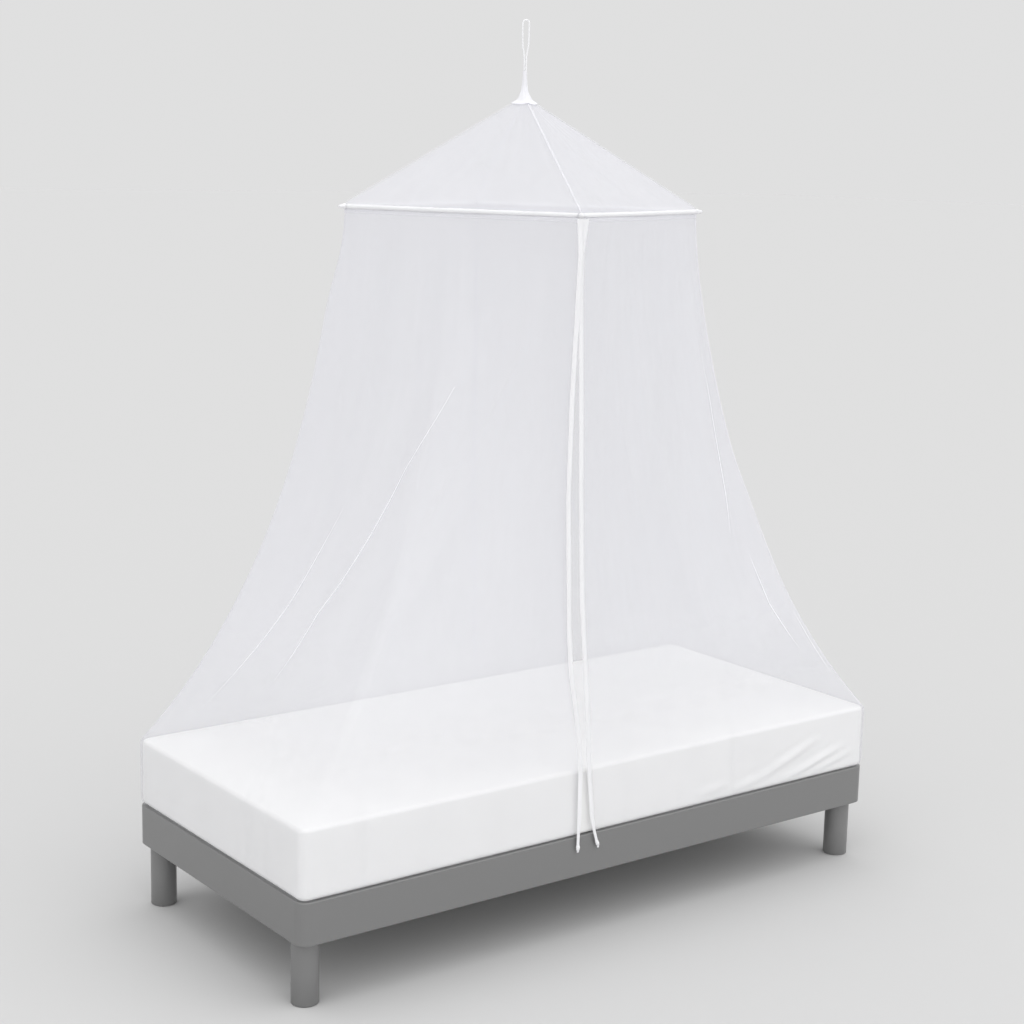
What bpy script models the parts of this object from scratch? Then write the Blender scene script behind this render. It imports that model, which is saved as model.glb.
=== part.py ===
"""Mosquito net canopy over a single bed: metres, +Z up, origin on the floor under the bed's middle.

+X runs along the bed towards its head, and -Y is the side of the net's front opening.
A turn counts the corners round the net, seen from above: 0 at the front opening, 1 left,
2 back, 3 right and 4 at the front opening again. A fall of 0 is at the spreader, and 1 at the bed.
"""

from collections import namedtuple
from math import cos, exp, pi, sin

import bmesh
import bpy
from mathutils import Vector

# The bed: a mattress on a plain base with four round legs.
BED_LENGTH = 2.0
BED_WIDTH = 0.9
LEG_HEIGHT = 0.173
LEG_RADIUS = 0.036
LEG_END_INSET = 0.048
LEG_SIDE_INSET = 0.060
LEG_SIDES = 24
BASE_HEIGHT = 0.115
BASE_CORNER = 0.034
BASE_EDGE = 0.003
MATTRESS_LENGTH = 1.99
MATTRESS_WIDTH = 0.89
MATTRESS_HEIGHT = 0.189
MATTRESS_CORNER = 0.026
MATTRESS_TOP_EDGE = 0.012
MATTRESS_LOW_EDGE = 0.022
CORNER_SEGMENTS = 6
EDGE_SEGMENTS = 4
RIM_SHARE = 0.49
GAP = 0.0003

# The spreader: four bowed rods in sleeves that meet in pointed corner pockets.
SPREADER_HEIGHT = 1.961
SLEEVE_RADIUS = 0.0065
SLEEVE_STEPS = 8
SLEEVE_END = 0.0085
SIDE_BOW = 0.008
POCKET_LENGTH = 0.018
POCKET_TIP_RADIUS = 0.0028
POCKET_FIT = 0.95
POCKET_SIDES = 12

# The cloth.
NET_THICKNESS = 0.002
SEAM_INSET = 0.0016
APEX = Vector((-0.031, -0.002, 2.265))
ROOF_GAP = 0.0022
ROOF_FOOT = SPREADER_HEIGHT + SLEEVE_RADIUS + ROOF_GAP
ROOF_END = 0.955
ROOF_ROWS = 6
ROOF_COLUMNS = 8
ROOF_SAG = 0.012
RIDGE_WIDTH = 0.008
RIDGE_THICKNESS = 0.0012
RIDGE_LIFT = 0.0024
RIDGE_START = 0.035
RIDGE_END = 0.91

WALL_GAP = 0.0008
WALL_TOP = SPREADER_HEIGHT - SLEEVE_RADIUS - WALL_GAP
WALL_FOOT = 0.471
WALL_CLEARANCE = 0.007
WALL_ROWS = 16
WALL_STEP = 0.085
CORNER_STEPS = 4
LOW_LEFT_TAPE = 0.1335
LOW_RIGHT_TAPE = 0.1022
LOW_BACK = 0.160
FLARE_SHARE = 0.7
FLARE_EARLY = 1.5
FLARE_LATE = 4
HEAD_WIDTH = 0.72
FOOT_WIDTH = 1.44
HEAD_REACH = 0.47

# The wall's hem, in heights over the base: where it leaves the mattress's side and how far it is tucked in.
SIDE_MIDDLE = 0.100
HEM_TURN = 0.026
HEM_HEIGHT = 0.006
HEM_TUCK = 0.010
HEM_AIM = 0.055

# The crown patch over the apex, and the hanging loop that leaves its neck.
CROWN_LIFT = 0.0034
CROWN_THICKNESS = 0.0016
NECK_HEIGHT = 2.305
NECK_RADIUS = 0.0068
CROWN_RISES = (0.925, 0.940, 0.955)
CROWN_STEPS = 5
CROWN_NECK = ((0.0125, 2.2730), (0.0085, 2.2880), (NECK_RADIUS, NECK_HEIGHT))
CORD_RADIUS = 0.0023
LOOP_DIRECTION = Vector((0.8, -0.6, 0.0))

Corner = namedtuple("Corner", "name x y")
CORNERS = (
    Corner("front", -0.196, -0.470),
    Corner("left", -0.486, 0.193),
    Corner("back", 0.150, 0.470),
    Corner("right", 0.434, -0.207),
)
CENTRE = Vector((-0.026, -0.004))

Panel = namedtuple("Panel", "name turn")
PANELS = (
    Panel("front_left", 0),
    Panel("back_left", 1),
    Panel("back_right", 2),
    Panel("front_right", 3),
)

# Hanging folds of the wall: each starts at one turn and fall and slants to another.
Fold = namedtuple("Fold", "top_turn top_fall low_turn low_fall half_width height")
FOLDS = (
    Fold(0.18, 0.16, 0.46, 0.70, 0.045, 0.010),
    Fold(0.42, 0.24, 0.76, 0.93, 0.050, 0.014),
    Fold(0.66, 0.38, 0.90, 0.95, 0.045, 0.011),
    Fold(1.05, 0.12, 1.09, 0.86, 0.060, 0.030),
    Fold(1.40, 0.30, 1.26, 0.92, 0.055, 0.014),
    Fold(1.72, 0.22, 1.60, 0.90, 0.050, 0.012),
    Fold(2.30, 0.26, 2.42, 0.92, 0.055, 0.016),
    Fold(2.66, 0.30, 2.80, 0.93, 0.050, 0.014),
    Fold(3.12, 0.18, 3.20, 0.66, 0.045, 0.016),
    Fold(3.03, 0.52, 3.08, 0.94, 0.045, 0.012),
    Fold(3.60, 0.26, 3.42, 0.90, 0.055, 0.010),
)
FOLD_FADE = 0.16

# The two tapes that bind the opening's edges, from the spreader down to their knotted ends.
Tape = namedtuple("Tape", "height left_x right_x left_out right_out width thickness")
TAPES = (
    Tape(1.9530, -0.2060, -0.1800, 0.0066, 0.0030, 0.0150, 0.0016),
    Tape(1.8630, -0.1990, -0.1925, 0.0066, 0.0030, 0.0150, 0.0016),
    Tape(1.7530, -0.2030, -0.1915, 0.0066, 0.0030, 0.0150, 0.0016),
    Tape(1.4930, -0.2120, -0.1790, 0.0066, 0.0030, 0.0150, 0.0016),
    Tape(1.2330, -0.2130, -0.1680, 0.0064, 0.0032, 0.0150, 0.0016),
    Tape(0.9630, -0.1990, -0.1525, 0.0062, 0.0036, 0.0150, 0.0016),
    Tape(0.8800, -0.1945, -0.1445, 0.0061, 0.0038, 0.0150, 0.0016),
    Tape(0.7540, -0.1805, -0.1308, 0.0060, 0.0040, 0.0150, 0.0016),
    Tape(0.6680, -0.1625, -0.1208, 0.0060, 0.0042, 0.0150, 0.0016),
    Tape(0.5670, -0.1435, -0.1106, 0.0060, 0.0045, 0.0150, 0.0016),
    Tape(0.4710, -0.1335, -0.1022, 0.0060, 0.0050, 0.0145, 0.0016),
    Tape(0.3380, -0.1328, -0.0885, 0.0060, 0.0058, 0.0135, 0.0018),
    Tape(0.2960, -0.1345, -0.0785, 0.0060, 0.0060, 0.0090, 0.0024),
    Tape(0.2670, -0.1350, -0.0695, 0.0062, 0.0062, 0.0085, 0.0026),
    Tape(0.2630, -0.1350, -0.0680, 0.0064, 0.0064, 0.0120, 0.0060),
    Tape(0.2550, -0.1350, -0.0655, 0.0064, 0.0064, 0.0125, 0.0062),
    Tape(0.2500, -0.1350, -0.0640, 0.0064, 0.0064, 0.0080, 0.0036),
)

# Half of the hanging loop: how far each strand stands from the loop's middle at each height.
Strand = namedtuple("Strand", "height out")
STRANDS = (
    Strand(2.3055, 0.0026),
    Strand(2.3180, 0.0026),
    Strand(2.3400, 0.0026),
    Strand(2.3600, 0.0027),
    Strand(2.3750, 0.0033),
    Strand(2.3860, 0.0050),
    Strand(2.3960, 0.0070),
    Strand(2.4060, 0.0082),
    Strand(2.4250, 0.0087),
    Strand(2.4450, 0.0088),
    Strand(2.4612, 0.0088),
    Strand(2.4656, 0.0076),
    Strand(2.4680, 0.0056),
    Strand(2.4694, 0.0031),
)
LOOP_TOP = 2.4700

WHITE_TAPE = ((0.93, 0.93, 0.95), 0.70)
NET_WHITE = ((0.86, 0.86, 0.91), 0.80)
SHEET_WHITE = ((0.90, 0.90, 0.90), 0.75)
SATIN_GREY = ((0.21, 0.21, 0.21), 0.45)
SATIN_METAL = 0.3


# ---------------------------------------------------------------- scene and helpers

def clear_scene():
    for thing in list(bpy.data.objects):
        bpy.data.objects.remove(thing, do_unlink=True)


def new_collection(name):
    group = bpy.data.collections.new(name)
    bpy.context.scene.collection.children.link(group)
    return group


def material(name, look, metallic=0.0):
    colour, roughness = look
    made = bpy.data.materials.new(name)
    made.use_nodes = True
    shader = made.node_tree.nodes["Principled BSDF"]
    shader.inputs["Base Color"].default_value = (*colour, 1.0)
    shader.inputs["Roughness"].default_value = roughness
    shader.inputs["Metallic"].default_value = metallic
    return made


def add_object(name, data, look, metallic=0.0, smooth=True):
    thing = bpy.data.objects.new(name, data)
    data.materials.append(material(name, look, metallic))
    NET.objects.link(thing)
    if smooth and isinstance(data, bpy.types.Mesh):
        data.shade_smooth()
    return thing


def grid_mesh(name, rows, closed=False):
    """An open surface through rows of points, outside face on the right of each row's direction."""
    count = len(rows[0])
    points = [tuple(point) for row in rows for point in row]
    spans = count if closed else count - 1
    faces = []
    for row in range(len(rows) - 1):
        for column in range(spans):
            left = row * count + column
            right = row * count + (column + 1) % count
            faces.append((left, right, right + count, left + count))
    mesh = bpy.data.meshes.new(name)
    mesh.from_pydata(points, [], faces)
    mesh.update()
    return mesh


def add_sheet(name, rows, thickness, look, closed=False):
    """Cloth: an open surface given its thickness half to each side."""
    thing = add_object(name, grid_mesh(name, rows, closed), look)
    shell = thing.modifiers.new("thickness", "SOLIDIFY")
    shell.thickness = thickness
    shell.offset = 0.0
    return thing


def add_strip(name, sections, look):
    """A solid ribbon through four-cornered sections, closed at both ends."""
    bm = bmesh.new()
    rings = [[bm.verts.new(point) for point in section] for section in sections]
    for upper, lower in zip(rings, rings[1:]):
        for side in range(4):
            after = (side + 1) % 4
            bm.faces.new((upper[side], upper[after], lower[after], lower[side]))
    bm.faces.new(rings[0])
    bm.faces.new(rings[-1])
    bmesh.ops.recalc_face_normals(bm, faces=bm.faces)
    mesh = bpy.data.meshes.new(name)
    bm.to_mesh(mesh)
    bm.free()
    return add_object(name, mesh, look, smooth=False)


def add_tube(name, points, radius, look):
    curve = bpy.data.curves.new(name, "CURVE")
    curve.dimensions = "3D"
    curve.bevel_depth = radius
    curve.bevel_resolution = 2
    curve.use_fill_caps = True
    line = curve.splines.new("POLY")
    line.points.add(len(points) - 1)
    for spot, point in zip(line.points, points):
        spot.co = (*point, 1.0)
    return add_object(name, curve, look)


# ---------------------------------------------------------------- where the cloth hangs

def corner_place(turn):
    corner = CORNERS[turn % 4]
    return Vector((corner.x, corner.y))


def side_place(turn, share):
    """A point on the spreader's side that starts at this corner, bowed a little outwards."""
    start = corner_place(turn)
    end = corner_place(turn + 1)
    along = end - start
    out = Vector((-along.y, along.x)).normalized()
    if out.dot(start - CENTRE) < 0:
        out.negate()
    return start.lerp(end, share) + out * SIDE_BOW * 4 * share * (1 - share)


def bed_outline():
    """The rounded rectangle the wall reaches, as (start, direction or angle, length) runs.

    It starts at the middle of the front side and goes round by the left end.
    """
    half_x = MATTRESS_LENGTH / 2 + WALL_CLEARANCE
    half_y = MATTRESS_WIDTH / 2 + WALL_CLEARANCE
    radius = MATTRESS_CORNER + WALL_CLEARANCE
    run_x = half_x - radius
    run_y = half_y - radius
    arc = pi / 2 * radius
    runs = (
        ("line", Vector((0, -half_y)), Vector((-1, 0)), run_x),
        ("arc", Vector((-run_x, -run_y)), -pi / 2, arc),
        ("line", Vector((-half_x, -run_y)), Vector((0, 1)), 2 * run_y),
        ("arc", Vector((-run_x, run_y)), -pi, arc),
        ("line", Vector((-run_x, half_y)), Vector((1, 0)), 2 * run_x),
        ("arc", Vector((run_x, run_y)), pi / 2, arc),
        ("line", Vector((half_x, run_y)), Vector((0, -1)), 2 * run_y),
        ("arc", Vector((run_x, -run_y)), 0.0, arc),
        ("line", Vector((run_x, -half_y)), Vector((-1, 0)), run_x),
    )
    return radius, runs


def bed_place(distance):
    """The point of the bed's outline at a distance along it from the middle of the front side."""
    radius, runs = bed_outline()
    for kind, start, heading, length in runs:
        if distance <= length:
            break
        distance -= length
    if kind == "line":
        return start + heading * min(distance, length)
    angle = heading - min(distance, length) / radius
    return start + Vector((cos(angle), sin(angle))) * radius


def low_ends(turn):
    """How far along the bed's outline a panel's lower edge starts and ends."""
    radius, runs = bed_outline()
    ends = [0.0]
    for run in runs:
        ends.append(ends[-1] + run[3])
    left = (ends[3] + ends[4]) / 2
    back = (ends[4] + ends[5]) / 2 + LOW_BACK
    right = (ends[7] + ends[8]) / 2
    limits = (LOW_LEFT_TAPE, left, back, right, ends[9] + LOW_RIGHT_TAPE)
    return limits[turn], limits[turn + 1]


def panel_shares(turn):
    """Where a panel's columns stand, closer together where its lower edge rounds a corner."""
    first, last = low_ends(turn)
    places = [first]
    start = 0.0
    for kind, _, _, length in bed_outline()[1]:
        low = max(first, start)
        high = min(last, start + length)
        start += length
        if high <= low:
            continue
        step = length / CORNER_STEPS if kind == "arc" else WALL_STEP
        count = max(1, round((high - low) / step))
        places += [low + (high - low) * (index + 1) / count for index in range(count)]
    if last > start:
        places[-1] = last
    return [(place - first) / (last - first) for place in places]


def flare(fall):
    """How much of the way out from spreader to bed the wall has gone: little at first."""
    return FLARE_SHARE * fall ** FLARE_EARLY + (1 - FLARE_SHARE) * fall ** FLARE_LATE


def tape_value(height, column):
    """A column of the tape table at a height, straight between its rows."""
    for above, below in zip(TAPES, TAPES[1:]):
        if height >= below.height:
            break
    share = (above.height - height) / (above.height - below.height)
    share = min(max(share, 0.0), 1.0)
    return getattr(above, column) * (1 - share) + getattr(below, column) * share


def fold_push(turn, fall):
    """How far the folds stand out of the plain wall at a turn and fall."""
    width = HEAD_WIDTH * (1 - flare(fall)) + FOOT_WIDTH * flare(fall)
    push = 0.0
    for fold in FOLDS:
        span = fold.low_fall - fold.top_fall
        share = (fall - fold.top_fall) / span
        ends = min(fall - fold.top_fall + FOLD_FADE / 2, fold.low_fall + FOLD_FADE / 2 - fall)
        fade = min(max(ends / FOLD_FADE, 0.0), 1.0)
        share = min(max(share, 0.0), 1.0)
        middle = fold.top_turn + (fold.low_turn - fold.top_turn) * share
        across = (turn - middle) * width / fold.half_width
        push += fold.height * fade * fade * (3 - 2 * fade) * exp(-across * across)
    return push


def out_of(place, fall):
    """The level direction that points out of the net at a place."""
    half_x = HEAD_REACH * (1 - flare(fall)) + BED_LENGTH / 2 * flare(fall)
    half_y = HEAD_REACH * (1 - flare(fall)) + BED_WIDTH / 2 * flare(fall)
    return Vector((place.x / half_x ** 2, place.y / half_y ** 2)).normalized()


def wall_place(turn, share, height):
    """A point of the wall's middle surface on the panel that starts at this corner."""
    fall = min((WALL_TOP - height) / (WALL_TOP - WALL_FOOT), 1.0)
    first, last = low_ends(turn)
    distance = first + (last - first) * share
    if turn == 3:
        total = sum(run[3] for run in bed_outline()[1])
        over = distance - total
        low = bed_place(distance) if over <= 0 else bed_place(0) - Vector((over, 0))
    else:
        low = bed_place(distance)
    place = side_place(turn, share).lerp(low, flare(fall))
    place += out_of(place, fall) * fold_push(turn + share, fall)
    if turn == 0:
        bound = side_place(0, 0).lerp(bed_place(first), flare(fall)).x
        place.x += (tape_value(height, "left_x") - bound) * (1 - share) ** 3
    if turn == 3:
        bound = side_place(3, 1).lerp(Vector((-LOW_RIGHT_TAPE, 0)), flare(fall)).x
        place.x += (tape_value(height, "right_x") - bound) * share ** 3
    return Vector((place.x, place.y, height))


# ---------------------------------------------------------------- the net's pieces

def wall_rows(turn):
    """Rows of the wall panel, from the spreader down the mattress's side to the tucked hem."""
    shares = panel_shares(turn)
    heights = [WALL_TOP + (WALL_FOOT - WALL_TOP) * row / WALL_ROWS for row in range(WALL_ROWS + 1)]
    base_top = LEG_HEIGHT + BASE_HEIGHT
    heights += [base_top + SIDE_MIDDLE, base_top + HEM_TURN]
    rows = [[wall_place(turn, share, height) for share in shares] for height in heights]
    hem = []
    aim_x = BED_LENGTH / 2 - HEM_AIM
    aim_y = BED_WIDTH / 2 - HEM_AIM
    for point in rows[-1]:
        inner = Vector((max(-aim_x, min(aim_x, point.x)), max(-aim_y, min(aim_y, point.y))))
        level = point.xy + (inner - point.xy).normalized() * HEM_TUCK
        hem.append(Vector((level.x, level.y, base_top + HEM_HEIGHT)))
    rows.append(hem)
    return rows


def trim_seams(rows, start, end):
    """Draws a panel's side edges back from the seam so that it stops short of its neighbour."""
    for row in rows:
        if start:
            row[0] = row[0] + (row[1] - row[0]).normalized() * SEAM_INSET
        if end:
            row[-1] = row[-1] + (row[-2] - row[-1]).normalized() * SEAM_INSET
    return rows


def build_walls():
    for panel in PANELS:
        rows = trim_seams(wall_rows(panel.turn), panel.turn != 0, panel.turn != 3)
        add_sheet("wall_" + panel.name, rows, NET_THICKNESS, NET_WHITE)


def build_tapes():
    """The opening's bindings: each lies on the front of its panel's edge and hangs on below it."""
    for side, turn, share in (("left", 0, 0.0), ("right", 3, 1.0)):
        sections = []
        for row in TAPES:
            middle = wall_place(turn, share, row.height)
            middle.x = getattr(row, side + "_x")
            middle.y -= getattr(row, side + "_out")
            wide = Vector((row.width / 2, 0, 0))
            deep = Vector((0, row.thickness / 2, 0))
            sections.append((middle - wide - deep, middle + wide - deep, middle + wide + deep, middle - wide + deep))
        add_strip("opening_tape_" + side, sections, WHITE_TAPE)


def roof_place(turn, share, rise):
    """A point of the roof panel over this side: rise 0 at the spreader, 1 at the apex."""
    foot = side_place(turn, share)
    level = foot.lerp(APEX.xy, rise)
    sag = ROOF_SAG * 4 * share * (1 - share) * 4 * rise * (1 - rise)
    return Vector((level.x, level.y, ROOF_FOOT + (APEX.z - ROOF_FOOT) * rise - sag))


def build_roof():
    for panel in PANELS:
        rows = []
        for row in range(ROOF_ROWS + 1):
            rise = ROOF_END * (1 - row / ROOF_ROWS)
            shares = [column / ROOF_COLUMNS for column in range(ROOF_COLUMNS + 1)]
            rows.append([roof_place(panel.turn, share, rise) for share in shares])
        add_sheet("roof_" + panel.name, trim_seams(rows, True, True), NET_THICKNESS, NET_WHITE)


def build_ridges():
    """Narrow bindings over the roof's four seams."""
    for turn, corner in enumerate(CORNERS):
        sections = []
        for rise in (RIDGE_START, RIDGE_END):
            middle = roof_place(turn, 0.0, rise)
            up = (APEX - middle).normalized()
            wide = up.cross(Vector((0, 0, 1))).normalized()
            out = wide.cross(up).normalized()
            middle += out * RIDGE_LIFT
            wide *= RIDGE_WIDTH / 2
            deep = out * RIDGE_THICKNESS / 2
            sections.append((middle - wide - deep, middle + wide - deep, middle + wide + deep, middle - wide + deep))
        add_strip("ridge_tape_" + corner.name, sections, WHITE_TAPE)


def build_crown():
    """The doubled patch over the apex: four-sided at its hem, drawn up into a round neck."""
    rows = []
    for rise in CROWN_RISES:
        ring = []
        for turn in range(4):
            for step in range(CROWN_STEPS):
                place = roof_place(turn, step / CROWN_STEPS, rise)
                ring.append(place + Vector((0, 0, CROWN_LIFT + SEAM_INSET)))
        rows.append(ring)
    for radius, height in CROWN_NECK:
        ring = []
        for point in rows[0]:
            heading = Vector((point.x - APEX.x, point.y - APEX.y)).normalized()
            ring.append(Vector((APEX.x + heading.x * radius, APEX.y + heading.y * radius, height)))
        rows.append(ring)
    rows.reverse()
    add_sheet("crown_patch", rows, CROWN_THICKNESS, WHITE_TAPE, closed=True)


def build_hang_loop():
    """One cord out of the crown's neck, up one strand, over the top and down the other."""
    middle = Vector((APEX.x, APEX.y, 0))
    up = [middle + LOOP_DIRECTION * -row.out + Vector((0, 0, row.height)) for row in STRANDS]
    over = [middle + Vector((0, 0, LOOP_TOP))]
    down = [middle + LOOP_DIRECTION * row.out + Vector((0, 0, row.height)) for row in reversed(STRANDS)]
    add_tube("hang_loop", up + over + down, CORD_RADIUS, WHITE_TAPE)


def build_spreader():
    for panel in PANELS:
        length = (corner_place(panel.turn + 1) - corner_place(panel.turn)).length
        start = SLEEVE_END / length
        points = []
        for step in range(SLEEVE_STEPS + 1):
            level = side_place(panel.turn, start + (1 - 2 * start) * step / SLEEVE_STEPS)
            points.append(Vector((level.x, level.y, SPREADER_HEIGHT)))
        add_tube("sleeve_" + panel.name, points, SLEEVE_RADIUS, WHITE_TAPE)


def build_pockets():
    """Pointed pockets that close each corner of the spreader."""
    for corner in CORNERS:
        place = Vector((corner.x, corner.y))
        heading = (place - CENTRE).normalized()
        middle = place + heading * POCKET_LENGTH / 2
        bm = bmesh.new()
        bmesh.ops.create_cone(
            bm,
            cap_ends=True,
            segments=POCKET_SIDES,
            radius1=SLEEVE_RADIUS * POCKET_FIT,
            radius2=POCKET_TIP_RADIUS,
            depth=POCKET_LENGTH,
        )
        mesh = bpy.data.meshes.new("corner_pocket_" + corner.name)
        bm.to_mesh(mesh)
        bm.free()
        thing = add_object("corner_pocket_" + corner.name, mesh, WHITE_TAPE, smooth=False)
        thing.location = (middle.x, middle.y, SPREADER_HEIGHT)
        thing.rotation_euler = Vector((heading.x, heading.y, 0)).to_track_quat("Z", "Y").to_euler()


# ---------------------------------------------------------------- the bed

def add_rounded_box(name, size, middle_height, corner, edges, look, metallic=0.0):
    """A box with its upright edges rounded by one radius, and its top and bottom edges by two more."""
    bm = bmesh.new()
    bmesh.ops.create_cube(bm, size=1.0)
    bmesh.ops.scale(bm, vec=size, verts=bm.verts)
    upright = [side for side in bm.edges if abs(side.verts[0].co.z - side.verts[1].co.z) > size[2] / 2]
    bmesh.ops.bevel(bm, geom=upright, offset=corner, segments=CORNER_SEGMENTS, profile=0.5, affect="EDGES")
    for edge, end in zip(edges, (1, -1)):
        rim = [side for side in bm.edges if all(vert.co.z * end > size[2] * RIM_SHARE for vert in side.verts)]
        bmesh.ops.bevel(bm, geom=rim, offset=edge, segments=EDGE_SEGMENTS, profile=0.5, affect="EDGES")
    mesh = bpy.data.meshes.new(name)
    bm.to_mesh(mesh)
    bm.free()
    thing = add_object(name, mesh, look, metallic)
    thing.location.z = middle_height
    return thing


def build_bed():
    base_top = LEG_HEIGHT + BASE_HEIGHT
    add_rounded_box(
        "mattress",
        (MATTRESS_LENGTH, MATTRESS_WIDTH, MATTRESS_HEIGHT - GAP),
        base_top + GAP + (MATTRESS_HEIGHT - GAP) / 2,
        MATTRESS_CORNER,
        (MATTRESS_TOP_EDGE, MATTRESS_LOW_EDGE),
        SHEET_WHITE,
    )
    add_rounded_box(
        "bed_base",
        (BED_LENGTH, BED_WIDTH, BASE_HEIGHT),
        LEG_HEIGHT + BASE_HEIGHT / 2,
        BASE_CORNER,
        (BASE_EDGE, BASE_EDGE),
        SATIN_GREY,
        SATIN_METAL,
    )


def build_legs():
    for end, x in (("foot", -1), ("head", 1)):
        for side, y in (("front", -1), ("back", 1)):
            name = "leg_" + end + "_" + side
            bm = bmesh.new()
            bmesh.ops.create_cone(
                bm,
                cap_ends=True,
                segments=LEG_SIDES,
                radius1=LEG_RADIUS,
                radius2=LEG_RADIUS,
                depth=LEG_HEIGHT - GAP,
            )
            mesh = bpy.data.meshes.new(name)
            bm.to_mesh(mesh)
            bm.free()
            thing = add_object(name, mesh, SATIN_GREY, SATIN_METAL, smooth=False)
            thing.location = (
                x * (BED_LENGTH / 2 - LEG_END_INSET),
                y * (BED_WIDTH / 2 - LEG_SIDE_INSET),
                (LEG_HEIGHT - GAP) / 2,
            )


clear_scene()
NET = new_collection("mosquito_net_canopy")
build_hang_loop()
build_crown()
build_roof()
build_ridges()
build_spreader()
build_pockets()
build_walls()
build_tapes()
build_bed()
build_legs()
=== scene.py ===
"""Mosquito net canopy over a single bed: its looks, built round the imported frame, in metres.

+X runs along the bed towards its head, and -Y is the side of the net's front opening.
A turn counts the corners round the net, seen from above: 0 at the front opening, 1 left,
2 back, 3 right and 4 at the front opening again. A fall of 0 is at the spreader, and 1 at the bed.
"""

from collections import namedtuple
from math import cos, exp, pi, radians, sin, tau

import bmesh
import bpy
import numpy as np
from mathutils import Matrix, Vector, noise


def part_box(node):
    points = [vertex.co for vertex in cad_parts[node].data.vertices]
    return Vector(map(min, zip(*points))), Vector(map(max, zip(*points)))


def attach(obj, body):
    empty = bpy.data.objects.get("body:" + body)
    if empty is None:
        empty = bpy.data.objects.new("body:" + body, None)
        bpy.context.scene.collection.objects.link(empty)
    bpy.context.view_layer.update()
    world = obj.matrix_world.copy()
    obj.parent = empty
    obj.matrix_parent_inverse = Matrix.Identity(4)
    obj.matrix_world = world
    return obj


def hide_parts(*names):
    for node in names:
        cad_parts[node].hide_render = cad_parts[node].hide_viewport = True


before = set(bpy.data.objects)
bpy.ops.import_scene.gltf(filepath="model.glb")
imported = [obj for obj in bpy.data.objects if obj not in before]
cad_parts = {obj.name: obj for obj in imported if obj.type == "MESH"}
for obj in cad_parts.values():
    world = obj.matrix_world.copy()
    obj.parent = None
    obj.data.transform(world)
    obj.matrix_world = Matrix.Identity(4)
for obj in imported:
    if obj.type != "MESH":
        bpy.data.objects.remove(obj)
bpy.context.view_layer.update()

# The bed, in the sizes of its CAD pieces.
BASE_LOW, BASE_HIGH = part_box("bed_base")
MATTRESS_LOW, MATTRESS_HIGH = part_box("mattress")
BASE_TOP = BASE_HIGH.z
BASE_CORNER = 0.034
BASE_EDGE = 0.003
MATTRESS_CORNER = 0.026
MATTRESS_TOP_EDGE = 0.012
MATTRESS_LOW_EDGE = 0.014
MATTRESS_CROWN = 0.006
LEG_RADIUS = 0.036

# The spreader and its sleeves.
SPREADER_HEIGHT = 1.961
SLEEVE_RADIUS = 0.0065
SLEEVE_END = 0.0085
SLEEVE_FIN = 0.003
SIDE_BOW = 0.008

# The cloth, as it hangs in the CAD model.
APEX = Vector((-0.031, -0.002, 2.265))
ROOF_FOOT = SPREADER_HEIGHT + SLEEVE_RADIUS
ROOF_END = 0.955
ROOF_SAG = 0.012
WALL_TOP = SPREADER_HEIGHT - SLEEVE_RADIUS
WALL_FOOT = 0.471
WALL_CLEARANCE = 0.007
HEM_TURN = 0.026
HEM_DROP = 0.022
HEM_TUCK = 0.006
LOW_LEFT_TAPE = 0.1335
LOW_RIGHT_TAPE = 0.1022
LOW_BACK = 0.160
FLARE_SHARE = 0.7
FLARE_EARLY = 1.5
FLARE_LATE = 4
NECK_HEIGHT = 2.305
NECK_RADIUS = 0.0068
CROWN_FOOT = 0.925
CROWN_SHOULDER = 0.955
RIDGE_START = 0.012
RIDGE_END = 0.925
CORD_RADIUS = 0.0023
LOOP_DIRECTION = Vector((0.8, -0.6, 0.0))
CENTRE = Vector((-0.026, -0.004))

Corner = namedtuple("Corner", "name x y")
CORNERS = (
    Corner("front", -0.196, -0.470),
    Corner("left", -0.486, 0.193),
    Corner("back", 0.150, 0.470),
    Corner("right", 0.434, -0.207),
)

Panel = namedtuple("Panel", "name turn")
PANELS = (
    Panel("front_left", 0),
    Panel("back_left", 1),
    Panel("back_right", 2),
    Panel("front_right", 3),
)

# Hanging folds of the wall: each starts at one turn and fall and slants to another.
Fold = namedtuple("Fold", "top_turn top_fall low_turn low_fall half_width height")
FOLDS = (
    Fold(0.18, 0.16, 0.46, 0.70, 0.045, 0.010),
    Fold(0.42, 0.24, 0.76, 0.93, 0.050, 0.014),
    Fold(0.66, 0.38, 0.90, 0.95, 0.045, 0.011),
    Fold(1.05, 0.12, 1.09, 0.86, 0.060, 0.030),
    Fold(1.40, 0.30, 1.26, 0.92, 0.055, 0.014),
    Fold(1.72, 0.22, 1.60, 0.90, 0.050, 0.012),
    Fold(2.30, 0.26, 2.42, 0.92, 0.055, 0.016),
    Fold(2.66, 0.30, 2.80, 0.93, 0.050, 0.014),
    Fold(3.12, 0.18, 3.20, 0.66, 0.045, 0.016),
    Fold(3.03, 0.52, 3.08, 0.94, 0.045, 0.012),
    Fold(3.60, 0.26, 3.42, 0.90, 0.055, 0.010),
)
FOLD_FADE = 0.16

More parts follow.
